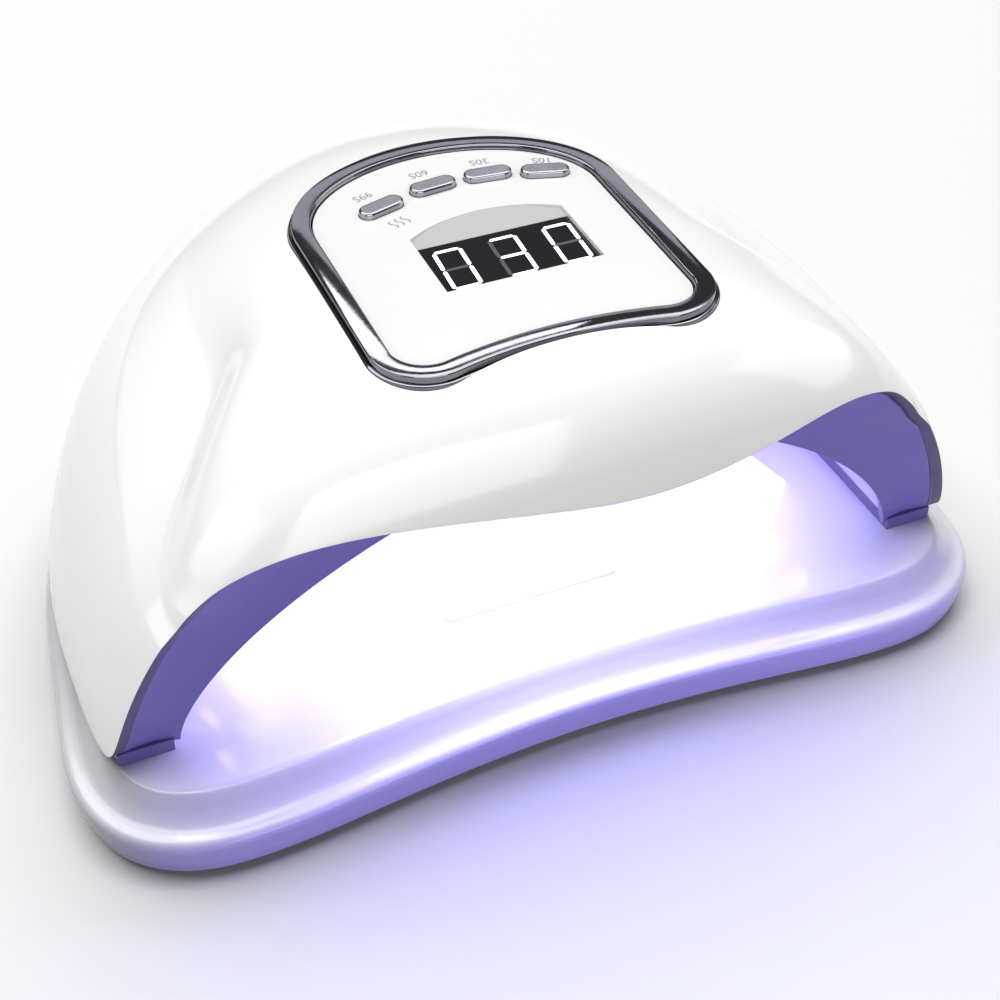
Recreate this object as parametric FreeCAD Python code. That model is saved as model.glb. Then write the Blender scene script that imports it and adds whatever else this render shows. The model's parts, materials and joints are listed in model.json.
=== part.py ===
import FreeCAD, Part
import math
import os

os.makedirs("parts", exist_ok=True)
V = FreeCAD.Vector

# Driving dimensions, millimetres. X across, -Y is the hand opening, Z up from the table.
BODY_CENTRE_Y = -36.8        # widest station of the hood
HALF_WIDTH = 108.3           # hood half width at its base
BACK_REACH = 125.6           # from the widest station to the back
FRONT_REACH = 59.2           # from the widest station to the visor
DOME_BASE = 9.0              # virtual base level of the dome curve
DOME_RISE = 95.6             # dome height above that level
SHELL_FOOT = 20.0            # lower rim of the outer shell
SHELL_WALL = 2.6
LEDGE_DEPTH = 8.5            # how far the hood steps in above the flank ledge
RING_TOP = 102.4
RING_BAND = 5.5
PLATE_TOP = 101.2
PANEL_SEAT = 98.3
RING_HALF_WIDTH = 39.3
RING_FRONT = -71.0
RING_ARCH_START = -12.0
RING_ARCH_DEPTH = 30.2
RING_CORNER = 13.0
RING_FRONT_SAG = 3.2
WINDOW_CENTRE = 3.3          # display and buttons sit a little to the right of the ring's centre
WINDOW_HALF_WIDTH = 18.3
WINDOW_FRONT = -42.0
WINDOW_BACK = -23.0
SCOOP_BACK = -14.4
SCOOP_ROUND = 33.2
WINDOW_LEVEL = 100.2
LENS_THICK = 2.0
BOARD_TOP = 89.6
BOARD_THICK = 1.6
BUTTONS = (("button_99", -16.4, -5.7, 17.0), ("button_60", -2.4, -1.6, 6.0),
           ("button_30", 11.2, -1.6, -6.0), ("button_10", 24.0, -5.4, -17.0))
BUTTON_LENGTH = 11.4
BUTTON_WIDTH = 4.6
BUTTON_PROUD = 1.5
BUTTON_GAP = 0.15
BUTTON_TRAVEL = 1.0
SWITCH_HEIGHT = 3.9          # from the board to the top of the plunger
TRAY_BOTTOM = 2.0
TRAY_FLOOR = 18.0
ARCH_HALF_WIDTH = 91.0
ARCH_RISE = 60.0
ARCH_BACK = 60.0
LINER_WALL = 2.0
FRAME_BOTTOM = 18.0
FRAME_TOP = 21.5
JACK_LEVEL = 32.0
BEZEL_LEAN = 6.6             # degrees that the bezel leans out towards its top
BEZEL_FOOT = -70.6
BEZEL_THICK = 4.5
CLEARANCE = 0.05             # between pieces that are fixed to each other


def save(name, shape):
    shape.exportStep("parts/" + name + ".step")


def group(shapes):
    return Part.makeCompound(shapes)


def fuse(shapes):
    joined = shapes[0]
    for other in shapes[1:]:
        joined = joined.fuse(other)
    return joined


def box(x0, x1, y0, y1, z0, z1):
    return Part.makeBox(x1 - x0, y1 - y0, z1 - z0, V(x0, y0, z0))


def rod(x, y, z0, z1, radius):
    return Part.makeCylinder(radius, z1 - z0, V(x, y, z0))


def spline_wire(points):
    curve = Part.BSplineCurve()
    curve.interpolate(Points=points, PeriodicFlag=True)
    return Part.Wire([curve.toShape()])


def prism(wire, z0, z1):
    solid = Part.Face(wire).extrude(V(0, 0, z1 - z0))
    solid.translate(V(0, 0, z0 - wire.BoundBox.ZMin))
    return solid


# ---- outer form of the hood ------------------------------------------------
# Level curves: a superellipse behind the widest station, a squarer one in front.
def smooth_step(t):
    t = min(max(t, 0.0), 1.0)
    return t * t * (3 - 2 * t)


def level_reach(z):
    rise = max(z - DOME_BASE, 0.0) / DOME_RISE
    fill = (1 - rise ** 1.77) ** 0.649
    side = HALF_WIDTH * fill ** 0.5814
    back = BACK_REACH * fill ** 0.4255
    climb = max(z - SHELL_FOOT, 0.0) / 84.0
    front = FRONT_REACH * (1 - climb ** 3.5) ** 0.25 + 36.0 * (1 - smooth_step((z - 22.0) / 48.0))
    return side, front, back


def ledge_inset(y, z):
    low = 57.0 + 0.27 * (y + 73.5)
    s = y + 31.5
    high = 84.2 + 0.305 * s - 0.235 * math.sqrt(s * s + 36.0)
    span = max(high - low, 2.0)
    w = (z - low) / span
    fade = smooth_step((28.5 - y) / 60.0) * (1 - 0.85 * smooth_step((-34.0 - y) / 38.0))
    if w <= 0:
        return 0.0
    if w <= 1:
        return LEDGE_DEPTH * fade * w
    return LEDGE_DEPTH * fade * (1 - smooth_step((w - 1) * span / 17.0))


def level_point(angle, z, wall):
    side, front, back = level_reach(z)
    dx = math.sin(angle)
    dy = -math.cos(angle)
    front_power = 2.94 / math.log(max(front, 59.25) / 36.0)
    reach, power = (front, front_power) if dy < 0 else (back, 2.35)
    soft = 6.0
    full = math.sqrt(side * side + soft * soft) - soft
    low = 0.0
    high = 160.0
    for _ in range(34):
        r = (low + high) / 2
        u = (math.sqrt((r * dx) ** 2 + soft * soft) - soft) / full
        v = abs(r * dy) / reach
        if u ** 1.72 + v ** power < 1:
            low = r
        else:
            high = r
    x = low * dx
    y = BODY_CENTRE_Y + low * dy
    r = low - wall - ledge_inset(y, z) * abs(dx) ** 0.5
    return V(r * dx, BODY_CENTRE_Y + r * dy, z)


def hood_section(z, level, wall):
    count = 44
    points = [level_point(2 * math.pi * (i + 0.5) / count, level, wall) for i in range(count)]
    return spline_wire([V(p.x, p.y, z) for p in points])


def hood_solid(levels, wall):
    lift = wall
    wires = [hood_section(z, z + lift, wall) for z in levels]
    return Part.makeLoft(wires, True, False)


OUTER_LEVELS = (20, 30, 40, 49, 57, 64, 70, 76, 82, 87, 91.5, 95.5, 99, 101.4, 102.8)
outer = hood_solid(OUTER_LEVELS, 0.0)
inner_levels = [z - SHELL_WALL for z in OUTER_LEVELS]
inner = hood_solid(inner_levels, SHELL_WALL)


# ---- outline of the trim ring ----------------------------------------------
def ring_wire(inset, z):
    w = RING_HALF_WIDTH - inset
    r = RING_CORNER - inset
    side_x = RING_HALF_WIDTH - RING_CORNER
    corner_y = RING_FRONT + RING_CORNER
    reach = (side_x ** 2 + RING_FRONT_SAG ** 2) / (2 * RING_FRONT_SAG)
    centre_y = corner_y - math.sqrt(reach ** 2 - side_x ** 2)
    ux = side_x / reach
    uy = (corner_y - centre_y) / reach
    front = reach - RING_CORNER + inset
    join = V(side_x - r * ux, corner_y - r * uy, z)
    middle = V(0, centre_y + front, z)
    turn = math.atan2(-uy, -ux) / 2
    corner_mid = V(side_x + r * math.cos(turn), corner_y + r * math.sin(turn), z)
    low = V(w, corner_y, z)
    high = V(w, RING_ARCH_START, z)
    arch = Part.Ellipse(V(w, RING_ARCH_START, z), V(0, RING_ARCH_START + RING_ARCH_DEPTH - inset, z),
                        V(0, RING_ARCH_START, z))
    edges = [Part.Arc(V(-join.x, join.y, z), middle, join).toShape(),
             Part.Arc(join, corner_mid, low).toShape(),
             Part.LineSegment(low, high).toShape(),
             Part.Arc(arch, 0, math.pi).toShape(),
             Part.LineSegment(V(-w, high.y, z), V(-w, low.y, z)).toShape(),
             Part.Arc(V(-w, low.y, z), V(-corner_mid.x, corner_mid.y, z), V(-join.x, join.y, z)).toShape()]
    return Part.Wire(Part.__sortEdges__(edges))


def ring_loft(steps):
    return Part.makeLoft([ring_wire(inset, z) for inset, z in steps], True, True)


# ---- outer shell -----------------------------------------------------------
def curve_and_lines(points, corners):
    curve = Part.BSplineCurve()
    curve.interpolate(points)
    chain = [points[-1]] + corners + [points[0]]
    lines = [Part.LineSegment(a, b).toShape() for a, b in zip(chain, chain[1:])]
    return Part.Face(Part.Wire([curve.toShape()] + lines))


# The mouth: a side profile for both cheeks, and a wave seen from the front for the visor.
CHEEK = ((-65.0, 18.0), (-69.2, 22.0), (-71.6, 31.0), (-74.0, 47.0), (-75.6, 60.0), (-76.6, 66.0))
WAVE = ((-90, 57.0), (-84, 65.5), (-77, 72.0), (-67, 77.4), (-52, 80.6), (-34, 80.6), (-10, 78.0), (8, 76.0),
        (30, 76.8), (50, 79.0), (62, 79.0), (71, 76.3), (78, 72.3), (84, 66.8), (90, 58.6))
cheek_points = [V(-140, y, z) for y, z in CHEEK]
cheek_corners = [V(-140, -150, 66), V(-140, -150, -20), V(-140, -65, -20)]
cheeks = curve_and_lines(cheek_points, cheek_corners).extrude(V(280, 0, 0))
wave_points = [V(x, -150, z) for x, z in WAVE]
wave = curve_and_lines(wave_points, [V(90, -150, 40), V(-90, -150, 40)]).extrude(V(0, 150 - 74.5, 0))
mouth = cheeks.fuse(wave)
seat = prism(ring_wire(-2.6, 0), 95.4, PANEL_SEAT + 6).common(outer)
bosses = ((98.6, -52.0), (94.5, 6.0), (60.5, 58.0), (-60.5, 58.0), (-94.5, 6.0), (-98.6, -52.0))
shell = outer.cut(inner).fuse(seat)
shell = shell.cut(prism(ring_wire(-0.15, 0), PANEL_SEAT, 120))
shell = shell.cut(prism(ring_wire(7.5, 0), 80, 120))
shell = shell.cut(mouth)
shell = shell.fuse([rod(x, y, FRAME_TOP + CLEARANCE, 35.5 if y < -20 else 32, 3.6) for x, y in bosses])
shell = shell.cut(group([rod(x, y, 10, 31, 1.35) for x, y in bosses]))
shell = shell.cut(Part.makeCylinder(5.2, 30, V(0, 70, JACK_LEVEL), V(0, 1, 0)))
vents = []
for side in (-1, 1):
    for row in range(5):
        slot = box(-13, 13, 60, 110, 44 + row * 5.2, 46.2 + row * 5.2)
        slot.translate(V(side * 24, 0, 0))
        vents.append(slot)
shell = shell.cut(group(vents)).removeSplitter()
save("outer_shell", shell)

# ---- chrome ring and the plate inside it -----------------------------------
crown = ring_loft(((0, PANEL_SEAT), (0, 101.3), (1.5, RING_TOP)))
eye = ring_loft(((RING_BAND, PANEL_SEAT - 1), (RING_BAND, PLATE_TOP + 0.2),
                 (RING_BAND - 1.9, RING_TOP), (RING_BAND - 2.5, RING_TOP + 0.4)))
save("chrome_trim_ring", crown.cut(eye))


def pill(length, width, z0, z1):
    half = (length - width) / 2
    body = box(-half, half, -width / 2, width / 2, z0, z1)
    return fuse([body, rod(-half, 0, z0, z1, width / 2), rod(half, 0, z0, z1, width / 2)])


def at_button(shape, x, y, turn):
    shape = shape.copy()
    shape.rotate(V(0, 0, 0), V(0, 0, 1), turn)
    shape.translate(V(x, y, 0))
    return shape


board_posts = ((-26.0, -46.5), (26.0, -46.5), (-26.0, -15.5), (26.0, -15.5))
plate = prism(ring_wire(RING_BAND + 0.12, 0), PANEL_SEAT, PLATE_TOP)
WINDOW_LEFT = WINDOW_CENTRE - WINDOW_HALF_WIDTH
WINDOW_RIGHT = WINDOW_CENTRE + WINDOW_HALF_WIDTH
well = box(WINDOW_LEFT - 2, WINDOW_RIGHT + 2, WINDOW_FRONT - 2, WINDOW_BACK + 2, 94.4, PANEL_SEAT + 0.5)
plate = fuse([plate, well] + [rod(x, y, BOARD_TOP, PANEL_SEAT + 0.5, 2.8) for x, y in board_posts])
plate = plate.cut(box(WINDOW_LEFT, WINDOW_RIGHT, WINDOW_FRONT, WINDOW_BACK, 90, 110))
scoop_front = WINDOW_BACK - 1
scoop_profile = ((scoop_front, WINDOW_LEVEL), (WINDOW_BACK, WINDOW_LEVEL), (SCOOP_BACK, PLATE_TOP),
                 (SCOOP_BACK, PLATE_TOP + 2), (scoop_front, PLATE_TOP + 2), (scoop_front, WINDOW_LEVEL))
scoop_side = Part.makePolygon([V(WINDOW_LEFT, y, z) for y, z in scoop_profile])
scoop = Part.Face(scoop_side).extrude(V(2 * WINDOW_HALF_WIDTH, 0, 0))
plate = plate.cut(scoop.common(rod(WINDOW_CENTRE, SCOOP_BACK - SCOOP_ROUND, 80, 110, SCOOP_ROUND)))
button_hole = pill(BUTTON_LENGTH + 2 * BUTTON_GAP, BUTTON_WIDTH + 2 * BUTTON_GAP, 90, 110)
for name, x, y, turn in BUTTONS:
    plate = plate.cut(at_button(button_hole, x, y, turn))
plate = plate.cut(group([rod(x, y, 85, 95.5, 1.05) for x, y in board_posts]))
save("control_panel_plate", plate.removeSplitter())

# ---- buttons ---------------------------------------------------------------
for name, x, y, turn in BUTTONS:
    cap = pill(BUTTON_LENGTH, BUTTON_WIDTH, PANEL_SEAT - 0.2, PLATE_TOP + BUTTON_PROUD)
    cap = cap.removeSplitter()
    rim = [edge for edge in cap.Edges if edge.BoundBox.ZMin > PLATE_TOP + BUTTON_PROUD - 0.01]
    cap = cap.makeFillet(0.6, rim)
    flange = pill(BUTTON_LENGTH + 1.8, BUTTON_WIDTH + 1.8, PANEL_SEAT - 1.4, PANEL_SEAT - 0.15)
    stem = rod(0, 0, BOARD_TOP + SWITCH_HEIGHT + BUTTON_TRAVEL + 0.1, PANEL_SEAT - 1.0, 1.6)
    save(name, at_button(fuse([cap, flange, stem]).removeSplitter(), x, y, turn))

# ---- display and control board ---------------------------------------------
lens_low = WINDOW_LEVEL - LENS_THICK
save("display_window", box(WINDOW_LEFT + 0.1, WINDOW_RIGHT - 0.1, WINDOW_FRONT + 0.1, WINDOW_BACK - 0.1,
                           lens_low, WINDOW_LEVEL))
save("display_module", box(WINDOW_LEFT + 0.4, WINDOW_RIGHT - 0.4, WINDOW_FRONT + 0.4, WINDOW_BACK - 0.4,
                           BOARD_TOP, lens_low))
board_low = BOARD_TOP - BOARD_THICK
board = box(-34.5, 34.5, -50, 6, board_low, BOARD_TOP)
board = board.makeFillet(3, [e for e in board.Edges if e.Length < BOARD_THICK + 0.01])
board = board.cut(group([rod(x, y, 80, 95, 1.3) for x, y in board_posts]))
save("control_board", board)
board_screws = [rod(x, y, board_low - 1.5, board_low, 2.0).fuse(rod(x, y, board_low, 95, 1.0))
                for x, y in board_posts]
save("control_board_screws", group(board_screws))
switches = []
for name, x, y, turn in BUTTONS:
    body = box(-3, 3, -3, 3, BOARD_TOP, BOARD_TOP + 3.4)
    plunger = rod(0, 0, BOARD_TOP + 3.4, BOARD_TOP + SWITCH_HEIGHT, 1.6)
    switches.append(at_button(body.fuse(plunger), x, y, turn))
save("button_switches", group(switches))
chips = [box(-7, 1, -19.5, -11.5, BOARD_TOP, BOARD_TOP + 1.7),
         box(8, 13, -18, -13, BOARD_TOP, BOARD_TOP + 1.5),
         box(-20, -15, -18.5, -15, BOARD_TOP, BOARD_TOP + 1.2)]
chips += [box(-29 + 7 * k, -27.4 + 7 * k, -49, -45.6, BOARD_TOP, BOARD_TOP + 0.9) for k in range(1, 8)]
save("control_board_parts", group(chips))
sounder = rod(27.5, -30, BOARD_TOP, BOARD_TOP + 4.5, 4.5)
sounder = sounder.cut(rod(27.5, -30, BOARD_TOP + 3.2, BOARD_TOP + 6, 0.9))
save("sounder", sounder)


# ---- reflector liner -------------------------------------------------------
def arch_height(x, half, rise):
    return rise * (1 - min(abs(x) / half, 1.0) ** 1.6) ** 0.625


def arch_wire(y, scale, grow, base):
    half = ARCH_HALF_WIDTH * scale + grow
    rise = ARCH_RISE * (0.3 + 0.7 * scale) + grow
    points = []
    for k in range(25):
        t = -math.pi / 2 + math.pi * k / 24
        x = half * math.sin(t)
        points.append(V(x, y, FRAME_BOTTOM + 2 + arch_height(x, half, rise)))
    curve = Part.BSplineCurve()
    curve.interpolate(points)
    a = points[0]
    b = points[-1]
    low_a = V(a.x, y, base)
    low_b = V(b.x, y, base)
    edges = [curve.toShape(), Part.LineSegment(b, low_b).toShape(),
             Part.LineSegment(low_b, low_a).toShape(), Part.LineSegment(low_a, a).toShape()]
    return Part.Wire(edges)


def arch_solid(front, grow, base):
    wires = []
    for y in (-45.0, -25.0, -5.0, 13.0, 28.0, 40.0, 49.0, 55.0, ARCH_BACK):
        run = (y + 45.0) / 112.0
        wires.append(arch_wire(y + grow, (1 - run ** 2.3) ** (1 / 2.3), grow, base))
    tunnel = Part.Face(arch_wire(front, 1.0, grow, base)).extrude(V(0, grow - 45.0 - front, 0))
    return tunnel.fuse(Part.makeLoft(wires, True, False))


def leaning_slab(front, back):
    """A slab that leans with the bezel, measured backwards from the bezel's front face."""
    slab = box(-130, 130, front, back, -30, 110)
    slab.rotate(V(0, 0, 0), V(1, 0, 0), BEZEL_LEAN)
    slab.translate(V(0, BEZEL_FOOT, SHELL_FOOT))
    return slab


liner_low = FRAME_TOP + CLEARANCE
arch_outer = arch_solid(-90.0, LINER_WALL, 0.0).common(box(-130, 130, -100, 90, liner_low, 110))
hand_space = arch_solid(-95.0, 0.0, 0.0)
flange = arch_solid(-90.0, LINER_WALL + 3.2, 0.0)
flange = flange.common(box(-130, 130, -80, 90, liner_low, liner_low + 1.85))
flange = flange.cut(group([rod(x, y, 10, 40, 3.9) for x, y in bosses]))
liner = arch_outer.fuse(flange.common(inner)).cut(hand_space)
liner = liner.cut(leaning_slab(-60, BEZEL_THICK + CLEARANCE))


def tilted(shape, x, y, z, lean):
    shape = shape.copy()
    shape.rotate(V(0, 0, 0), V(0, 1, 0), lean)
    shape.translate(V(x, y, z))
    return shape


def emitter(length):
    barrel = Part.makeCylinder(2.6, length, V(0, 0, -length))
    dome = Part.makeSphere(2.6, V(0, 0, -length))
    return barrel.fuse(dome)


SIDE_LEAN = 46.0
boards = {}
boards["top"] = (box(-30, 30, -33, 33, 0, 1.6), 0.0, -14.0, 83.2, 0.0)
boards["left"] = (box(-12, 12, -35, 35, 0, 1.6), -77.5, -25.0, 52.0, -SIDE_LEAN)
boards["right"] = (box(-12, 12, -35, 35, 0, 1.6), 77.5, -25.0, 52.0, SIDE_LEAN)
holes = []
for name, spots, length in (("top", [(x, y) for x in (-20, 0, 20) for y in (-24, 0, 24)], 6.0),
                            ("left", [(x, y) for x in (-6.5, 6.5) for y in (-28, -14, 0, 14, 28)], 4.0),
                            ("right", [(x, y) for x in (-6.5, 6.5) for y in (-28, -14, 0, 14, 28)], 4.0)):
    board_shape, x, y, z, lean = boards[name]
    save("led_board_" + name, tilted(board_shape, x, y, z, lean))
    lamps = []
    for sx, sy in spots:
        lamp = emitter(length)
        lamp.translate(V(sx, sy, 0))
        lamps.append(tilted(lamp, x, y, z, lean))
        bore = Part.makeCylinder(2.85, 20, V(sx, sy, -20))
        holes.append(tilted(bore, x, y, z, lean))
    save("led_emitters_" + name, group(lamps))
back_board = box(-35, 35, 64.6, 66.2, 30, 54)
save("led_board_back", back_board)
back_lamps = []
for x in (-28, -14, 0, 14, 28):
    lamp = emitter(4.0)
    lamp.rotate(V(0, 0, 0), V(1, 0, 0), -90)
    lamp.translate(V(x, 64.6, 42))
    back_lamps.append(lamp)
    holes.append(Part.makeCylinder(2.85, 20, V(x, 50, 42), V(0, 1, 0)))
save("led_emitters_back", group(back_lamps))
sensor_hole = rod(0, -54, 60, 100, 4.1)
liner = liner.cut(group(holes)).cut(sensor_hole)
save("reflector_liner", liner)
save("sensor_window", rod(0, -54, 78.6, 83.6, 3.9))
save("sensor_board", box(-7, 7, -60, -49.5, 83.6, 85.0))

# ---- front bezel, bottom frame ---------------------------------------------
skin = hood_solid([z - SHELL_WALL for z in OUTER_LEVELS], SHELL_WALL + 0.25)
bezel = leaning_slab(0, BEZEL_THICK).common(skin)
bezel = bezel.common(box(-130, 130, -130, 0, FRAME_TOP + CLEARANCE, 97.4)).cut(hand_space)
save("front_bezel", bezel)
frame_plate = skin.common(box(-130, 130, -67.8, 130, FRAME_BOTTOM, FRAME_TOP)).cut(hand_space)
screw_holes = [rod(x, y, 10, 34, 1.7) for x, y in bosses] + [rod(x, y, 10, 19.6, 3.1) for x, y in bosses]
frame_plate = frame_plate.cut(group(screw_holes))
MAGNETS = ((97.6, -28.0), (76.3, 40.0), (-76.3, 40.0), (-97.6, -28.0))
frame_plate = frame_plate.cut(group([rod(x, y, FRAME_BOTTOM + 0.2, 30, 4.55) for x, y in MAGNETS]))
save("bottom_frame", frame_plate)
save("frame_screws", group([rod(x, y, 18.1, 19.55, 2.8).fuse(rod(x, y, 19.5, 30.5, 1.3)) for x, y in bosses]))
save("housing_magnets", group([rod(x, y, FRAME_BOTTOM + 0.2, FRAME_TOP - 0.1, 4.5) for x, y in MAGNETS]))

# ---- driver board and power inlet ------------------------------------------
driver = box(-26, 26, 26, 48, 76.6, 78.2)
save("driver_board", driver)
coil = rod(-16, 36, 78.2, 84.2, 5.6).cut(rod(-16, 36, 78, 85, 2.2))
cans = [rod(x, 32, 78.2, 86.2, 2.8) for x in (-4, 4, 12)]
blocks = [box(-8, -2, 40, 46, 78.2, 80.4), box(3, 9, 40, 45, 78.2, 80), box(17, 24, 28, 38, 78.2, 81.5)]
save("driver_board_parts", group([coil] + cans + blocks))
jack = fuse([box(-5.2, 5.2, 69.2, 80.2, JACK_LEVEL - 5.4, JACK_LEVEL + 5.4),
             Part.makeCylinder(5.0, 8.4, V(0, 80.0, JACK_LEVEL), V(0, 1, 0))])
jack = jack.cut(Part.makeCylinder(2.9, 9.6, V(0, 78.8, JACK_LEVEL), V(0, 1, 0)))
save("power_inlet", jack.removeSplitter())
save("power_inlet_contact", Part.makeCylinder(1.0, 8.2, V(0, 78.8, JACK_LEVEL), V(0, 1, 0)))

# ---- tray ------------------------------------------------------------------
TRAY_HALF = ((0.0, -86.0), (26.0, -87.0), (52.0, -89.6), (78.0, -91.8), (95.0, -89.6), (107.5, -81.0),
             (113.6, -67.0), (113.9, -52.0), (111.6, -34.0), (108.6, -10.0), (103.5, 12.0), (93.5, 37.0),
             (77.0, 60.0), (52.0, 79.0), (26.0, 89.0))
TRAY_BACK = (0.0, 92.0)
tray_outline = list(TRAY_HALF) + [TRAY_BACK] + [(-x, y) for x, y in reversed(TRAY_HALF[1:])]
tray_points = [V(x, y, 0) for x, y in tray_outline]
tray_curve = Part.BSplineCurve()
tray_curve.interpolate(Points=tray_points, PeriodicFlag=True)


def tray_wire(inset, z):
    count = 72
    first = tray_curve.FirstParameter
    span = tray_curve.LastParameter - first
    points = []
    for k in range(count):
        at = first + span * k / count
        along = tray_curve.tangent(at)[0]
        spot = tray_curve.value(at)
        points.append(V(spot.x - along.y * inset, spot.y + along.x * inset, z))
    return spline_wire(points)


def tray_loft(steps):
    return Part.makeLoft([tray_wire(inset, z) for inset, z in steps], True, True)


TRAY_SKIN = ((1.2, TRAY_BOTTOM), (0.4, 5.5), (0, 9.4), (0.35, 10.7), (1.3, 11.6), (2.6, 11.9), (4.2, 12.5),
             (6.4, 14.4), (8.6, 16.9), (10.4, TRAY_FLOOR))
body = tray_loft(TRAY_SKIN)
hollow = tray_loft(((3.4, TRAY_BOTTOM - 1), (2.7, 5.5), (2.5, 9.2), (6.5, 11.6), (12.5, 15.6)))
bar = pill(45, 4, TRAY_FLOOR - 1, TRAY_FLOOR + 1.2)
bar.translate(V(0, -53.5, 0))
tray_bosses = ((88, -70), (88, 20), (40, 68), (-40, 68), (-88, 20), (-88, -70), (0, -72))
tray = body.cut(hollow).fuse(bar.removeSplitter())
tray = tray.fuse(group([rod(x, y, 4.5, 16.6, 3.6) for x, y in tray_bosses]))
tray = tray.cut(group([rod(x, y, 0, 14, 1.35) for x, y in tray_bosses]))
tray = tray.fuse(group([rod(x, y, 12.6, 16.2, 6.0) for x, y in MAGNETS]).common(body))
tray = tray.cut(group([rod(x, y, 10, 15.6, 4.6) for x, y in MAGNETS]))
save("tray_shell", tray.removeSplitter())
cover = prism(tray_wire(3.6, 0), TRAY_BOTTOM, 4.4)
FEET = ((70, -77), (62, 50), (-62, 50), (-70, -77))
cover = cover.cut(group([rod(x, y, 0, 6, 1.6).fuse(rod(x, y, 0, 3.3, 3.2)) for x, y in tray_bosses]))
cover = cover.cut(group([rod(x, y, 0, 2.5, 7.1) for x, y in FEET]))
save("tray_bottom_cover", cover)
save("tray_screws", group([rod(x, y, 2.1, 3.3, 3.0).fuse(rod(x, y, 3.2, 13, 1.3)) for x, y in tray_bosses]))
save("rubber_feet", group([rod(x, y, 0, 2.5, 7.0) for x, y in FEET]))
save("tray_steel_discs", group([rod(x, y, 14.3, 15.5, 4.5) for x, y in MAGNETS]))
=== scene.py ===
import json
import math
import bpy
import bmesh
import numpy as np
from mathutils import Matrix, Vector

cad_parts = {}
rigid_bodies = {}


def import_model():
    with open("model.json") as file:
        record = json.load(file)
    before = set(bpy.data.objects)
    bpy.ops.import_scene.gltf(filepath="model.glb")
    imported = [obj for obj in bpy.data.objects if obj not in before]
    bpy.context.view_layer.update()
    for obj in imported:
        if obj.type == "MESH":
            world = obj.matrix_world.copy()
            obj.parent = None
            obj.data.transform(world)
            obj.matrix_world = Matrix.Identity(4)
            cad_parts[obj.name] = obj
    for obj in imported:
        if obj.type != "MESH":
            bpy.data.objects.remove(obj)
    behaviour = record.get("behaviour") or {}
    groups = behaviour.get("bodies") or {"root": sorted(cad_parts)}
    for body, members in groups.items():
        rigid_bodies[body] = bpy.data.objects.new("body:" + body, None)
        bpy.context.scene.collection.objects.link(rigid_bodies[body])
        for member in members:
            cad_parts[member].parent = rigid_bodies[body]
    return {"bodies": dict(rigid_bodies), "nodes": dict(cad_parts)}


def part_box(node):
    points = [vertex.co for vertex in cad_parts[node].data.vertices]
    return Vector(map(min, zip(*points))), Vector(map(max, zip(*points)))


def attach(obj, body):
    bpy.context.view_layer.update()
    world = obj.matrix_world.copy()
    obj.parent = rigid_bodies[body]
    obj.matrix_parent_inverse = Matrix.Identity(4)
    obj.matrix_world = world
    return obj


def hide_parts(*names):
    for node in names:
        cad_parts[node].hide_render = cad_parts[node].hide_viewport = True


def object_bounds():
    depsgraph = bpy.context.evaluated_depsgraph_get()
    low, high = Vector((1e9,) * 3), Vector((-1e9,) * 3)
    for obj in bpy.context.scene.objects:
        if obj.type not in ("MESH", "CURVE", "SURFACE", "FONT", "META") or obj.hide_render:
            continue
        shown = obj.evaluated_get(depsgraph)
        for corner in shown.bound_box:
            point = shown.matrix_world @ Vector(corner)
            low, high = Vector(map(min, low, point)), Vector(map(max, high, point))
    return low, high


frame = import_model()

cad_low, cad_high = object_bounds()
nodes = frame["nodes"]
# Meshes are written in millimetres and scaled by this when they are made.
MM = 0.001

# ---- Tray shell -----------------------------------------------------------
# The loose tray that the hand lies on: one moulding in glossy white ABS, with a rolled
# outer wall, a rounded rim, an apron that climbs to the flat floor, and a raised locating bar.


def closed_spline(points, count):
    """A smooth closed loop through the points, with no kink where it meets itself."""
    p = np.array(points, float)
    n = len(p)
    h = np.linalg.norm(np.roll(p, -1, 0) - p, axis=1)
    back = np.roll(h, 1)
    a = np.zeros((n, n))
    for i in range(n):
        a[i, i] = 2 * (back[i] + h[i])
        a[i, (i + 1) % n] += back[i]
        a[i, i - 1] += h[i]
    step = (np.roll(p, -1, 0) - p) / h[:, None]
    slope = np.linalg.solve(a, 3 * (h[:, None] * np.roll(step, 1, 0) + back[:, None] * step))
    knots = np.concatenate(([0], np.cumsum(h)))
    at = np.linspace(0, knots[-1], count, endpoint=False)
    i = np.searchsorted(knots, at, side="right") - 1
    t = ((at - knots[i]) / h[i])[:, None]
    q = np.roll(p, -1, 0)
    m0, m1 = slope[i] * h[i][:, None], np.roll(slope, -1, 0)[i] * h[i][:, None]
    return ((2 * t**3 - 3 * t**2 + 1) * p[i] + (t**3 - 2 * t**2 + t) * m0
            + (3 * t**2 - 2 * t**3) * q[i] + (t**3 - t**2) * m1)


def outward(loop):
    """The outward direction at every point of a loop that runs anticlockwise."""
    along = np.roll(loop, -1, 0) - np.roll(loop, 1, 0)
    along /= np.linalg.norm(along, axis=1)[:, None]
    return np.stack([along[:, 1], -along[:, 0]], 1)


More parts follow.
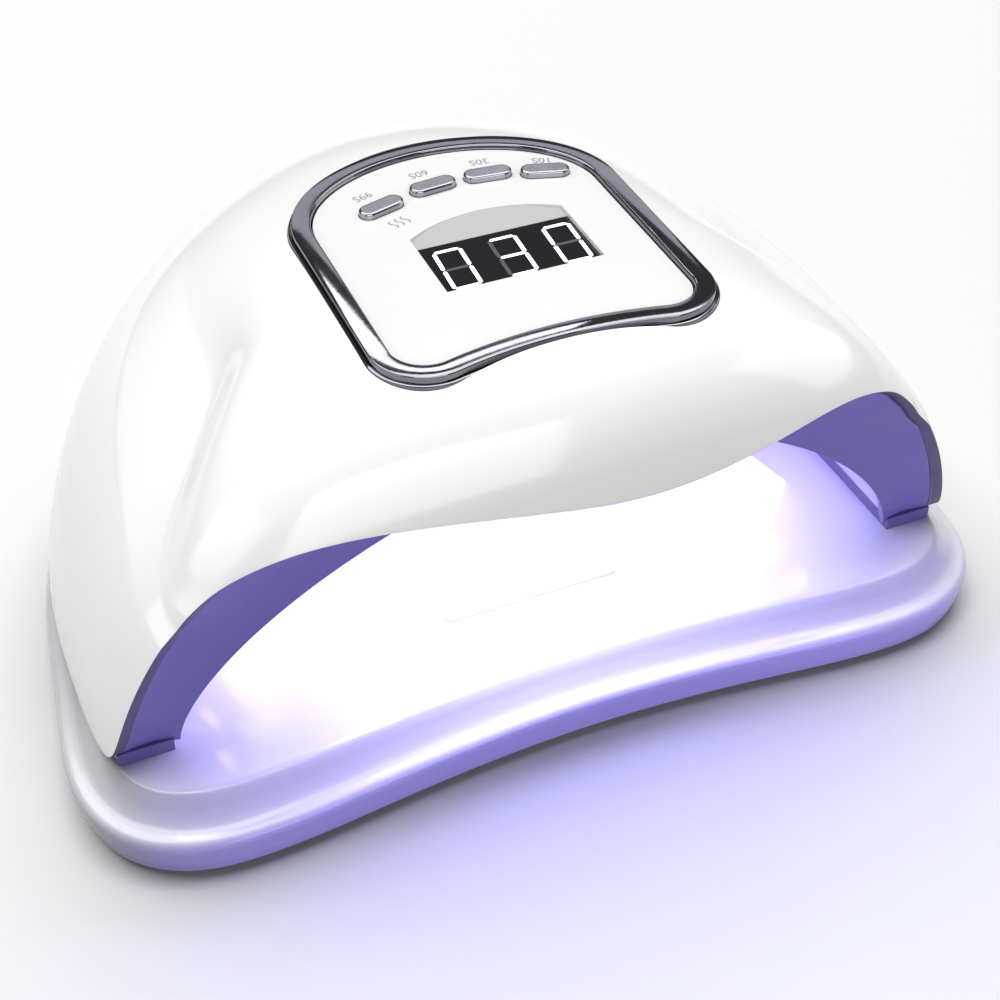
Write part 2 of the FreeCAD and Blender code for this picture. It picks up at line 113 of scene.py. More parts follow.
def eased(steps, count):
    """A smooth run through the profile's turning points, with no overshoot."""
    p = np.array(steps, float)
    t = np.concatenate(([0], np.cumsum(np.linalg.norm(np.diff(p, axis=0), axis=1))))
    out = []
    for col in range(p.shape[1]):
        d = np.diff(p[:, col]) / np.diff(t)
        m = np.zeros(len(p))
        for i in range(1, len(p) - 1):
            if d[i - 1] * d[i] > 0:
                m[i] = 2 * d[i - 1] * d[i] / (d[i - 1] + d[i])
        m[0], m[-1] = d[0], d[-1]
        at = np.linspace(0, t[-1], count)
        i = np.clip(np.searchsorted(t, at, side="right") - 1, 0, len(p) - 2)
        w = np.diff(t)[i]
        s = (at - t[i]) / w
        out.append((2 * s**3 - 3 * s**2 + 1) * p[i, col] + (s**3 - 2 * s**2 + s) * w * m[i]
                   + (3 * s**2 - 2 * s**3) * p[i + 1, col] + (s**3 - s**2) * w * m[i + 1])
    return np.stack(out, 1)


def band_faces(rows, count, start=0, closed=True):
    """Four-sided faces between rows of points, each row joined to itself when closed."""
    faces = []
    for r in range(rows - 1):
        for c in range(count if closed else count - 1):
            a = start + r * count + c
            b = start + r * count + (c + 1) % count
            faces.append((a, b, b + count, a + count))
    return faces


def piece(name, verts, faces, body, material, sharp=35.0, stands_for=()):
    """A mesh that rides on a body, in place of the nodes it stands for."""
    mesh = bpy.data.meshes.new(name)
    mesh.from_pydata([tuple(float(x) * MM for x in v) for v in verts], [], faces)
    bm = bmesh.new()
    bm.from_mesh(mesh)
    bmesh.ops.remove_doubles(bm, verts=bm.verts, dist=1e-6)
    bmesh.ops.recalc_face_normals(bm, faces=bm.faces)
    bm.to_mesh(mesh)
    bm.free()
    mesh.shade_smooth()
    mesh.set_sharp_from_angle(angle=math.radians(sharp))
    made = bpy.data.objects.new(name, mesh)
    bpy.context.collection.objects.link(made)
    made.data.materials.append(material)
    if stands_for:
        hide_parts(*stands_for)
    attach(made, body)
    return made


def socket(group, name, kind, way, value=None):
    made = group.interface.new_socket(name, in_out=way, socket_type="NodeSocket" + kind)
    if value is not None:
        made.default_value = value


# Shared variation of a moulded or plated surface: a cloudy tint from handling, a roughness
# that follows the same cloud, and a fine grain for the bump.
moulding = bpy.data.node_groups.new("moulding_variation", "ShaderNodeTree")
socket(moulding, "Clean", "Color", "INPUT", (0.8, 0.8, 0.8, 1))
socket(moulding, "Handled", "Color", "INPUT", (0.7, 0.7, 0.7, 1))
socket(moulding, "Polish", "Float", "INPUT", 0.2)
socket(moulding, "Dull", "Float", "INPUT", 0.35)
socket(moulding, "Cloud Scale", "Float", "INPUT", 18.0)
socket(moulding, "Grain Scale", "Float", "INPUT", 900.0)
socket(moulding, "Color", "Color", "OUTPUT")
socket(moulding, "Roughness", "Float", "OUTPUT")
socket(moulding, "Height", "Float", "OUTPUT")
new_node = moulding.nodes.new
m_in, m_out = new_node("NodeGroupInput"), new_node("NodeGroupOutput")
m_co = new_node("ShaderNodeTexCoord")
m_cloud = new_node("ShaderNodeTexNoise")
m_cloud.inputs["Detail"].default_value = 4.0
m_grain = new_node("ShaderNodeTexNoise")
m_grain.inputs["Detail"].default_value = 2.0
m_tint = new_node("ShaderNodeMix")
m_tint.data_type = "RGBA"
m_worn = new_node("ShaderNodeMapRange")
m_worn.inputs["From Min"].default_value = 0.35
m_worn.inputs["From Max"].default_value = 0.75
m_rough = new_node("ShaderNodeMapRange")
m_rough.inputs["From Min"].default_value = 0.3
m_rough.inputs["From Max"].default_value = 0.7
link = moulding.links.new
link(m_co.outputs["Object"], m_cloud.inputs["Vector"])
link(m_co.outputs["Object"], m_grain.inputs["Vector"])
link(m_in.outputs["Cloud Scale"], m_cloud.inputs["Scale"])
link(m_in.outputs["Grain Scale"], m_grain.inputs["Scale"])
link(m_cloud.outputs["Fac"], m_worn.inputs["Value"])
link(m_worn.outputs["Result"], m_tint.inputs["Factor"])
link(m_in.outputs["Clean"], m_tint.inputs["A"])
link(m_in.outputs["Handled"], m_tint.inputs["B"])
link(m_tint.outputs["Result"], m_out.inputs["Color"])
link(m_cloud.outputs["Fac"], m_rough.inputs["Value"])
link(m_in.outputs["Polish"], m_rough.inputs["To Min"])
link(m_in.outputs["Dull"], m_rough.inputs["To Max"])
link(m_rough.outputs["Result"], m_out.inputs["Roughness"])
link(m_grain.outputs["Fac"], m_out.inputs["Height"])


def moulded(name, clean, handled, polish, dull, grain=0.02, coat=0.0, metallic=0.0, cloud=18.0, scale=900.0):
    """A material with two close tints, two roughness values and a fine grain."""
    made = bpy.data.materials.new(name)
    made.use_nodes = True
    tree = made.node_tree
    shader = tree.nodes["Principled BSDF"]
    skin = tree.nodes.new("ShaderNodeGroup")
    skin.node_tree = moulding
    skin.inputs["Clean"].default_value = (*clean, 1)
    skin.inputs["Handled"].default_value = (*handled, 1)
    skin.inputs["Polish"].default_value = polish
    skin.inputs["Dull"].default_value = dull
    skin.inputs["Cloud Scale"].default_value = cloud
    skin.inputs["Grain Scale"].default_value = scale
    bump = tree.nodes.new("ShaderNodeBump")
    bump.inputs["Strength"].default_value = grain
    bump.inputs["Distance"].default_value = 0.0004
    tree.links.new(skin.outputs["Color"], shader.inputs["Base Color"])
    tree.links.new(skin.outputs["Roughness"], shader.inputs["Roughness"])
    tree.links.new(skin.outputs["Height"], bump.inputs["Height"])
    tree.links.new(bump.outputs["Normal"], shader.inputs["Normal"])
    shader.inputs["Coat Weight"].default_value = coat
    shader.inputs["Coat Roughness"].default_value = 0.05
    shader.inputs["Metallic"].default_value = metallic
    return made


tray_white = moulded("tray_white", (0.83, 0.83, 0.85), (0.79, 0.79, 0.81), 0.16, 0.22, 0.01, coat=0.3)
TRAY_HALF = ((0.0, -86.0), (26.0, -87.0), (52.0, -89.6), (78.0, -91.8), (95.0, -89.6), (107.5, -81.0),
             (113.6, -67.0), (113.9, -52.0), (111.6, -34.0), (108.6, -10.0), (103.5, 12.0), (93.5, 37.0),
             (77.0, 60.0), (52.0, 79.0), (26.0, 89.0))
TRAY_BACK = (0.0, 92.0)
mirrored = [(-x, y) for x, y in reversed(TRAY_HALF[1:])]
tray_loop = closed_spline([*TRAY_HALF, TRAY_BACK, *mirrored], 420)
tray_out = outward(tray_loop)
# Each step of the profile is an inset from the outline and a height: the foot of the wall,
# the rounded wall up to the rim, the apron, and the edge of the flat floor.
tray_profile = np.vstack([
    [(3.4, 5.5), (3.4, 2.2), (3.0, 2.0), (1.6, 2.0), (1.1, 2.3)],
    eased(((1.0, 2.8), (0.4, 5.5), (0.0, 9.2), (0.35, 10.7), (1.2, 11.6), (2.5, 11.95)), 26),
    eased(((2.7, 11.98), (4.2, 12.5), (6.4, 14.4), (8.6, 16.9), (9.7, 17.75), (10.9, 18.0)), 26),
    [(11.3, 18.0), (12.2, 18.0), (14.0, 18.0)]])
tray_verts = []
for inset, level in tray_profile:
    ring = tray_loop - tray_out * inset
    tray_verts += [(x, y, level) for x, y in ring]
tray_faces = band_faces(len(tray_profile), len(tray_loop))
last = (len(tray_profile) - 1) * len(tray_loop)
tray_faces.append(tuple(range(last, last + len(tray_loop))))
BAR_MIDDLE_Y, BAR_REACH, BAR_ROUND = -53.5, 20.5, 2.0
bar_first = len(tray_verts)
bar_profile = ((0.0, 17.9), (0.0, 18.5), (0.15, 18.9), (0.5, 19.15), (1.0, 19.2))
bar_count = 64
for inset, level in bar_profile:
    for k in range(bar_count):
        t = 2 * math.pi * k / bar_count
        end = BAR_REACH if math.cos(t) > 0 else -BAR_REACH
        across, along = (BAR_ROUND - inset) * math.cos(t), (BAR_ROUND - inset) * math.sin(t)
        tray_verts.append((end + across, BAR_MIDDLE_Y + along, level))
tray_faces += band_faces(len(bar_profile), bar_count, bar_first)
last = bar_first + (len(bar_profile) - 1) * bar_count
tray_faces.append(tuple(range(last, last + bar_count)))
piece("tray_skin", tray_verts, tray_faces, "tray", tray_white, 40.0, ("tray_shell",))

# ---- Tray underside -------------------------------------------------------
# A flat moulded cover held by seven screws closes the tray, and four rubber feet are
# glued into its recesses. Steel discs above it face the magnets of the housing.
cover_white = moulded("cover_white", (0.76, 0.76, 0.78), (0.68, 0.68, 0.7), 0.45, 0.6, 0.12, scale=1400.0)
foot_rubber = moulded("foot_rubber", (0.035, 0.035, 0.038), (0.07, 0.07, 0.07), 0.7, 0.9, 0.3, scale=1500.0)
zinc_steel = moulded("zinc_steel", (0.56, 0.56, 0.58), (0.42, 0.42, 0.43), 0.25, 0.45, 0.15,
                     metallic=1.0, cloud=300.0)


def dress(node, material):
    nodes[node].data.materials.clear()
    nodes[node].data.materials.append(material)


dress("tray_bottom_cover", cover_white)
dress("rubber_feet", foot_rubber)
dress("tray_screws", zinc_steel)
dress("tray_steel_discs", zinc_steel)

# ---- Bottom frame of the housing ------------------------------------------
# A flat frame that closes the gap between outer shell and liner; its dark violet grey is painted shade
# and painted violet light. Six screws run up into the shell's bosses, and four plated magnets sit in
# its pockets.
frame_painted_violet_shade = moulded("frame_painted_violet_shade", (0.24, 0.225, 0.3), (0.2, 0.19, 0.26), 0.35, 0.5, 0.08)
dress("bottom_frame", frame_painted_violet_shade)
nickel = moulded("nickel", (0.62, 0.61, 0.58), (0.5, 0.49, 0.46), 0.12, 0.3, 0.05, metallic=1.0, cloud=200.0)
dress("frame_screws", zinc_steel)
dress("housing_magnets", nickel)

# ---- Reflector liner ------------------------------------------------------
# The arched inner lining that throws the light onto the nails: one glossy white moulding
# with a hole for every lamp, flanged at its foot where it rests on the bottom frame.
liner_white = moulded("liner_white", (0.88, 0.88, 0.93), (0.84, 0.84, 0.9), 0.1, 0.22, 0.02, coat=0.5)
dress("reflector_liner", liner_white)

# ---- Lamps and their boards -----------------------------------------------
# Violet light-emitting diodes with clear domed lenses, soldered to white-coated aluminium
# boards that are screwed to the back of the liner.
led_board = moulded("led_board", (0.8, 0.81, 0.83), (0.72, 0.72, 0.74), 0.35, 0.5, 0.05, metallic=0.3)
led_lens = moulded("led_lens", (0.7, 0.62, 1.0), (0.62, 0.52, 1.0), 0.05, 0.12, 0.01, coat=0.6, cloud=400.0)
glow = led_lens.node_tree.nodes["Principled BSDF"]
glow.inputs["Emission Color"].default_value = (0.42, 0.3, 1.0, 1)
glow.inputs["Emission Strength"].default_value = 14.0
for side in ("top", "left", "right", "back"):
    dress("led_board_" + side, led_board)
    dress("led_emitters_" + side, led_lens)

# ---- Boards and small parts inside ----------------------------------------
# Glass-fibre boards with green solder mask carry the display, switches, sounder, the hand
# sensor and the lamp driver. The sensor looks through a dark lens in the liner's roof.
board_green = moulded("board_green", (0.02, 0.16, 0.07), (0.03, 0.2, 0.1), 0.3, 0.45, 0.06, cloud=120.0)
component_black = moulded("component_black", (0.03, 0.03, 0.033), (0.05, 0.05, 0.052), 0.4, 0.6, 0.1)
smoked = moulded("smoked", (0.006, 0.006, 0.008), (0.012, 0.012, 0.014), 0.06, 0.16, 0.01, coat=0.6)
for node in ("control_board", "driver_board", "sensor_board"):
    dress(node, board_green)
for node in ("control_board_parts", "driver_board_parts", "button_switches", "sounder"):
    dress(node, component_black)
dress("control_board_screws", zinc_steel)
dress("sensor_window", smoked)

# ---- Outer shell ----------------------------------------------------------
# The hood: one glossy white ABS moulding with a soft ledge along each flank, a waved visor
# over the hand opening, vent slots at the back and a pocket on top for the control panel.
BODY_CENTRE_Y = -36.8
PANEL_SEAT, WALL = 98.3, 2.6


def smooth_step(t):
    t = np.clip(t, 0.0, 1.0)
    return t * t * (3 - 2 * t)


def level_reach(z):
    """How far the hood reaches to the side, front and back of its centre at a height."""
    fill = (1 - (np.maximum(z - 9.0, 0.0) / 95.6) ** 1.77) ** 0.649
    front = 59.2 * (1 - (np.maximum(z - 20.0, 0.0) / 84.0) ** 3.5) ** 0.25
    return 108.3 * fill**0.5814, front + 36.0 * (1 - smooth_step((z - 22.0) / 48.0)), 125.6 * fill**0.4255


def ledge_inset(y, z):
    """How deep the soft ledge sinks into the flank at a station and a height."""
    s = y + 31.5
    low = 57.0 + 0.27 * (y + 73.5)
    span = np.maximum(84.2 + 0.305 * s - 0.235 * np.sqrt(s * s + 36.0) - low, 2.0)
    w = (z - low) / span
    depth = 8.5 * smooth_step((28.5 - y) / 60.0) * (1 - 0.85 * smooth_step((-34.0 - y) / 38.0))
    rise = 0.5 * (w + np.sqrt(w * w + 0.0012))
    fall = 1 - smooth_step((w - 1) * span / 17.0)
    return depth * np.where(w < 1, rise, fall)


def hood_radius(angle, z):
    """Distance from the centre line to the hood's outside, with the angle from straight ahead."""
    side, front, back = level_reach(z)
    dx, dy = np.sin(angle), -np.cos(angle)
    power = np.where(dy < 0, 2.94 / np.log(np.maximum(front, 59.25) / 36.0), 2.35)
    reach = np.where(dy < 0, front, back)
    full = np.sqrt(side * side + 36.0) - 6.0
    low, high = np.zeros_like(angle + z), np.full_like(angle + z, 160.0)
    for _ in range(26):
        r = (low + high) / 2
        u = (np.sqrt((r * dx) ** 2 + 36.0) - 6.0) / full
        inside = u**1.72 + (np.abs(r * dy) / reach) ** power < 1
        low, high = np.where(inside, r, low), np.where(inside, high, r)
    return low - ledge_inset(BODY_CENTRE_Y + low * dy, z) * np.abs(dx) ** 0.5


def hood_point(angle, z):
    r = hood_radius(angle, z)
    return np.stack([r * np.sin(angle), BODY_CENTRE_Y - r * np.cos(angle), z + 0 * r], -1)


def solve(test, low, high):
    """The value between low and high at which the test stops being true."""
    for _ in range(30):
        mid = (low + high) / 2
        low, high = (mid, high) if test(mid) else (low, mid)
    return low


def ring_loop(inset):
    """The panel's outline: a waved front, two round corners, straight flanks, an arched back."""
    w, r, side_x = 39.3 - inset, 13.0 - inset, 26.3
    corner_y = -58.0
    reach = (side_x**2 + 3.2**2) / 6.4
    centre_y = corner_y - math.sqrt(reach**2 - side_x**2)
    turn = math.atan2(centre_y - corner_y, -side_x)
    half = []
    for t in np.linspace(math.atan2(side_x, corner_y - centre_y), 0, 31)[::-1]:
        half.append(((reach - 13.0 + inset) * math.sin(t), centre_y + (reach - 13.0 + inset) * math.cos(t)))
    for t in np.linspace(turn, 0, 37)[1:]:
        half.append((side_x + r * math.cos(t), corner_y + r * math.sin(t)))
    for t in np.linspace(corner_y, -12.0, 31)[1:]:
        half.append((w, t))
    for t in np.linspace(0, math.pi / 2, 61)[1:]:
        half.append((w * math.cos(t), -12.0 + (30.2 - inset) * math.sin(t)))
    return np.array(half + [(-x, y) for x, y in half[-2:0:-1]])


POCKET_GAP = 0.15
pocket = ring_loop(-POCKET_GAP)
pocket_angle = np.arctan2(pocket[:, 0], -(pocket[:, 1] - BODY_CENTRE_Y))
pocket_reach = np.hypot(pocket[:, 0], pocket[:, 1] - BODY_CENTRE_Y)
order = np.argsort(pocket_angle)

# Height and station of the hood's front edge on each cheek, then position across and height
# of the visor's waved edge.
CHEEK = ((18.0, -65.0), (22.0, -69.2), (31.0, -71.6), (47.0, -74.0), (60.0, -75.6), (66.0, -76.6))
WAVE = ((-90, 57.0), (-84, 65.5), (-77, 72.0), (-67, 77.4), (-52, 80.6), (-34, 80.6), (-10, 78.0), (8, 76.0),
        (30, 76.8), (50, 79.0), (62, 79.0), (71, 76.3), (78, 72.3), (84, 66.8), (90, 58.6))
cheek = eased(CHEEK, 200)


def open_spline(points, at):
    """Natural cubic through the points, which bends evenly from one to the next."""
    x, y = np.array(points, float).T
    gaps, count = np.diff(x), len(x)
    matrix, right = np.eye(count), np.zeros(count)
    for i in range(1, count - 1):
        matrix[i, i - 1:i + 2] = gaps[i - 1], 2 * (gaps[i - 1] + gaps[i]), gaps[i]
        right[i] = 3 * ((y[i + 1] - y[i]) / gaps[i] - (y[i] - y[i - 1]) / gaps[i - 1])
    bend = np.linalg.solve(matrix, right)
    i = np.clip(np.searchsorted(x, at, side="right") - 1, 0, count - 2)
    step = at - x[i]
    slope = (y[i + 1] - y[i]) / gaps[i] - gaps[i] * (2 * bend[i] + bend[i + 1]) / 3
    return y[i] + slope * step + bend[i] * step**2 + (bend[i + 1] - bend[i]) / (3 * gaps[i]) * step**3


wave_at = np.linspace(-90, 90, 600)
wave = np.stack([wave_at, open_spline(WAVE, wave_at)], 1)
COLUMN_ROWS = 120


def rim_line(side):
    """Angle and level along the lower rim, from the back round one side to the middle of the visor."""
    line = []
    for level in np.arange(20.0, 59.0, 1.0):
        station = np.interp(level, cheek[:, 0], cheek[:, 1])
        line.append((solve(lambda a: hood_point(np.array(a), level)[1] < station, 0.1, 1.57), level))
    for x in np.linspace(84.5, 0.0, 100):
        level = np.interp(side * x, wave[:, 0], wave[:, 1])
        line.append((solve(lambda a: hood_point(np.array(a), level)[0] < x, 0.0, 1.57), level))
    line = np.array([(a, 20.0) for a in np.linspace(math.pi, line[0][0], 120, endpoint=False)] + line)
    spots = hood_point(line[:, 0], line[:, 1])
    run = np.concatenate(([0], np.cumsum(np.linalg.norm(np.diff(spots, axis=0), axis=1))))
    even = np.linspace(0, run[-1], 241)
    line = np.stack([np.interp(even, run, line[:, 0]), np.interp(even, run, line[:, 1])], 1)
    rounded = line.copy()
    for step in range(60):
        blended = (rounded[:-2] + 2 * rounded[1:-1] + rounded[2:]) / 4
        soft = (rounded[1:-1, 1] > 40) | (step < 14)
        rounded[1:-1][soft] = blended[soft]
    return rounded


def hood_side(side):
    """Columns of points from the rim up to the pocket, for one half of the hood."""
    columns = []
    for angle, foot in rim_line(side):
        reach = np.interp(angle, pocket_angle[order], pocket_reach[order])
        top = solve(lambda z: hood_radius(np.array(angle), np.array(z)) > reach, 96.0, 102.7)
        t = np.linspace(0, 1, 260)
        fine = hood_point(np.array(angle), foot + (top - foot) * (1 - (1 - t) ** 1.8))
        along = np.concatenate(([0], np.cumsum(np.linalg.norm(np.diff(fine, axis=0), axis=1))))
        at = np.linspace(0, along[-1], COLUMN_ROWS)
        column = np.stack([np.interp(at, along, fine[:, k]) for k in range(3)], 1)
        wall = column[-1].copy()
        wall[2] = PANEL_SEAT + 0.1
        columns.append(np.vstack([column, wall]))
    columns = np.array(columns)
    columns[0, :, 0] = 0.0
    columns[-1, :, 0] = 0.0
    return columns * np.array([side, 1, 1])


hood = np.concatenate([hood_side(1), hood_side(-1)[-2:0:-1]]).transpose(1, 0, 2)
hood_rows, hood_columns = hood.shape[:2]
shell_white = moulded("shell_white", (0.78, 0.78, 0.785), (0.745, 0.745, 0.75), 0.13, 0.24,
                      coat=0.35, cloud=9.0)
shell = piece("hood_shell", hood.reshape(-1, 3), band_faces(hood_rows, hood_columns), "housing",
              shell_white, 50.0, ("outer_shell",))
# The cut edge of the wall gets a dark violet colour: painted shade with a painted violet cast on the lip.
lip_painted_shade = moulded("lip_painted_shade", (0.1, 0.088, 0.2), (0.12, 0.105, 0.23), 0.35, 0.5, 0.02)
shell.data.materials.append(lip_painted_shade)
thick = shell.modifiers.new("wall", "SOLIDIFY")
thick.thickness = WALL * MM
thick.offset = -1.0
thick.use_even_offset = False
thick.material_offset_rim = 1
rounded = shell.modifiers.new("lip", "BEVEL")
rounded.width = 0.45 * MM
rounded.segments = 3
rounded.limit_method = "ANGLE"
rounded.angle_limit = math.radians(50)

BACK_WALL_Y, VENT_LOW, VENT_STEP = 85.0, 45.1, 5.2
cutters = bmesh.new()
for side in (-1, 1):
    for row in range(5):
        spot = Matrix.Translation(Vector((side * 24.0, BACK_WALL_Y, VENT_LOW + row * VENT_STEP)) * MM)
        slot_size = Matrix.Diagonal((26 * MM, 50 * MM, 2.2 * MM, 1))
        bmesh.ops.create_cube(cutters, size=1.0, matrix=spot @ slot_size)
jack_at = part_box("power_inlet")
jack_level = (jack_at[0].z + jack_at[1].z) / 2
jack_turned = Matrix.Translation((0, BACK_WALL_Y * MM, jack_level)) @ Matrix.Rotation(math.pi / 2, 4, "X")
JACK_BORE = 5.2 * MM
bmesh.ops.create_cone(cutters, cap_ends=True, segments=48, radius1=JACK_BORE, radius2=JACK_BORE,
                      depth=40 * MM, matrix=jack_turned)
cutter_mesh = bpy.data.meshes.new("slots")
cutters.to_mesh(cutter_mesh)
cutters.free()
cutter = bpy.data.objects.new("slots", cutter_mesh)
bpy.context.collection.objects.link(cutter)
pierce = shell.modifiers.new("slots", "BOOLEAN")
pierce.operation = "DIFFERENCE"
pierce.object = cutter
bpy.context.view_layer.update()
pierced = bpy.data.meshes.new_from_object(shell.evaluated_get(bpy.context.evaluated_depsgraph_get()))
shell.modifiers.clear()
shell.data = pierced
pierced.set_sharp_from_angle(angle=math.radians(32))
bpy.data.objects.remove(cutter)

# ---- Front bezel ----------------------------------------------------------
# The band between the lip of the shell and the mouth of the liner, with a dark violet-grey base colour
# that is painted shade and painted violet light. It dishes inwards to the liner, turns back into it
# as a short sleeve, and is clipped in from behind.
bezel_painted_violet_shade = moulded("bezel_painted_violet_shade", (0.33, 0.3, 0.43), (0.3, 0.275, 0.4), 0.3, 0.42, 0.04)
LINER_HALF, LINER_RISE, LINER_BASE, LINER_MEAN = 90.7, 59.7, 20.0, 75.0
BEZEL_LOW, BEZEL_HIGH, BEZEL_INSET = 20.6, 88.0, 3.0
FACE_LEAN = 0.1157


def bezel_station(z):
    """Station of the bezel's outer edge, just behind the cheek's edge and leaning on above it."""
    top_z, top_y = CHEEK[-1]
    return np.where(z < top_z, np.interp(z, cheek[:, 0], cheek[:, 1]), top_y - (z - top_z) * FACE_LEAN) + 1.2


def resampled(line, count):
    """The same line with its points evenly spaced."""
    run = np.concatenate(([0], np.cumsum(np.linalg.norm(np.diff(line, axis=0), axis=1))))
    at = np.linspace(0, run[-1], count)
    return np.stack([np.interp(at, run, line[:, k]) for k in range(line.shape[1])], 1)


def inner_radius(angle, z):
    return float(hood_radius(np.array(angle), np.array(z))) - BEZEL_INSET


outer_line = []
for z in np.linspace(BEZEL_LOW, BEZEL_HIGH, 60):
    target = float(bezel_station(z))
    turned = solve(lambda a: BODY_CENTRE_Y - inner_radius(a, z) * math.cos(a) < target, 0.02, 1.57)
    outer_line.append((inner_radius(turned, z) * math.sin(turned), target, z))
outer_line.append((0.0, outer_line[-1][1], BEZEL_HIGH))
outer_line = resampled(np.array(outer_line), 90)
for _ in range(6):
    outer_line[1:-1] = (outer_line[:-2] + 2 * outer_line[1:-1] + outer_line[2:]) / 4
arch_t = np.linspace(math.pi / 2, 0, 400)
arch_x = LINER_HALF * np.sin(arch_t)
arch_z = LINER_BASE + LINER_RISE * np.maximum(1 - (arch_x / LINER_HALF) ** 1.6, 0) ** 0.625
keep = arch_z > BEZEL_LOW
arch_line = np.stack([np.append(arch_x[keep][0], arch_x[keep]), np.append(BEZEL_LOW, arch_z[keep])], 1)
arch_line = resampled(arch_line, 90)
LINER_FACE = -67.6
face_back = np.minimum(bezel_station(arch_line[:, 1]) + 3.0,
                       LINER_FACE - (arch_line[:, 1] - LINER_BASE) * FACE_LEAN)
arch_centre = np.array([0.0, LINER_BASE])
narrow = arch_centre + (arch_line - arch_centre) * (1 - 0.9 / LINER_MEAN)
inner_line = np.stack([narrow[:, 0], face_back, narrow[:, 1]], 1)
bezel_rows = [outer_line + np.array([0, 4.0, 0])]
for w in np.linspace(0, 1, 15):
    row = outer_line + (inner_line - outer_line) * w
    row[:, 1] += 0.9 * math.sin(math.pi * w)
    bezel_rows.append(row)
for back, widen in ((0.25, -0.12), (0.7, -0.1), (1.4, 0.2), (3.6, 0.75)):
    wide = arch_centre + (narrow - arch_centre) * (1 + widen / LINER_MEAN)
    bezel_rows.append(np.stack([wide[:, 0], face_back + back, wide[:, 1]], 1))
bezel_rows = np.array(bezel_rows)
full = np.concatenate([bezel_rows, bezel_rows[:, -2::-1] * np.array([-1, 1, 1])], 1)
rows, count = full.shape[:2]
bezel_faces = band_faces(rows, count, closed=False)
for end in (0, count - 1):
    bezel_faces.append(tuple(range(end, rows * count, count)))
piece("bezel_band", full.reshape(-1, 3), bezel_faces, "housing", bezel_painted_violet_shade, 40.0,
      ("front_bezel",))

# ---- Chrome trim ring -----------------------------------------------------
# Vacuum-plated ring pressed into the pocket round the control panel: a flat band with
# rounded shoulders that stands over a thin outer lip, with a fine groove between the two.
# The plating's base colour is far darker than real chrome: a painted dark reflection on the ring.
chrome = moulded("trim_chrome_painted_dark", (0.25, 0.25, 0.28), (0.21, 0.21, 0.24), 0.03, 0.08, 0.005,
                 metallic=1.0, cloud=60.0)
ring_profile = [(0.0, 98.4), (0.0, 100.3), (0.12, 100.6), (0.35, 100.72), (0.6, 100.72), (0.72, 100.6),
                (0.78, 100.6), (0.82, 100.9), (0.84, 102.1), (0.9, 102.28), (1.02, 102.36), (1.12, 102.37),
                (4.8, 102.37), (4.9, 102.36), (5.05, 102.28), (5.15, 102.1), (5.3, 101.2), (5.4, 98.4)]
ring_verts = []
for inset, level in ring_profile:
    ring_verts += [(x, y, level) for x, y in ring_loop(inset)]
piece("trim_ring", ring_verts, band_faces(len(ring_profile), len(pocket)), "housing", chrome, 40.0,
      ("chrome_trim_ring",))

# ---- Control panel --------------------------------------------------------
# A glossy white plate inside the ring, with a sunk display window, a scooped hollow behind
# it and four button holes. The time figures are pad-printed in grey.
panel_white = moulded("panel_white", (0.7, 0.7, 0.705), (0.67, 0.67, 0.675), 0.1, 0.2, 0.015,
                      coat=0.4, cloud=25.0)
print_grey = moulded("print_grey", (0.2, 0.2, 0.22), (0.26, 0.26, 0.28), 0.4, 0.5, 0.02)
dress("control_panel_plate", panel_white)
dress("display_window", smoked)
dress("display_module", component_black)
# Button node, its time in seconds, the turn of both in degrees, and how far off the figures sit.
BUTTONS = (("button_99", "99", 17.0, 7.2), ("button_60", "60", 6.0, 7.2), ("button_30", "30", -6.0, 7.0),
           ("button_10", "10", -17.0, 5.9))
PLATE_TOP = 101.2
for node, figure, turn, reach in BUTTONS:
    low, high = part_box(node)
    centre = (low + high) / 2
    words = bpy.data.curves.new("figure_" + figure, "FONT")
    words.body = figure + "S"
    words.size = 3.3 * MM
    words.align_x = "CENTER"
    words.align_y = "CENTER"
    words.extrude = 0.02 * MM
    words.resolution_u = 6
    label = bpy.data.objects.new("figure_" + figure, words)
    bpy.context.collection.objects.link(label)
    tilt = math.radians(turn)
    label.location = centre + Vector((-math.sin(tilt) * reach, math.cos(tilt) * reach, 0)) * MM
    label.location.z = (PLATE_TOP + 0.01) * MM
    label.rotation_euler = (0, 0, tilt + math.pi)
    bpy.context.view_layer.update()
    flat = bpy.data.meshes.new_from_object(label)
    flat.transform(label.matrix_world)
    bpy.data.objects.remove(label)
    made = bpy.data.objects.new("figure_" + figure, flat)
    bpy.context.collection.objects.link(made)
    made.data.materials.clear()
    made.data.materials.append(print_grey)
    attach(made, "housing")

# Three wavy strokes beside the longest time mark its gentler heat.
SIGN_AT, SIGN_LEAN = (-14.5, -12.2), math.radians(20)
strokes, stroke_faces = [], []
for k in range(3):
    first = len(strokes)
    for t in np.linspace(0, 1, 15):
        across = (k - 1) * 1.7 + 0.45 * math.sin(2 * math.pi * t)
        y = 3.4 * (t - 0.5)
        for half in (-0.2, 0.2):
            x = across + half
            strokes.append((SIGN_AT[0] + x * math.cos(SIGN_LEAN) - y * math.sin(SIGN_LEAN),
                            SIGN_AT[1] + x * math.sin(SIGN_LEAN) + y * math.cos(SIGN_LEAN), PLATE_TOP + 0.02))
    stroke_faces += [(first + i, first + i + 1, first + i + 3, first + i + 2) for i in range(0, 28, 2)]
piece("figure_gentle_heat_sign", strokes, stroke_faces, "housing", print_grey)
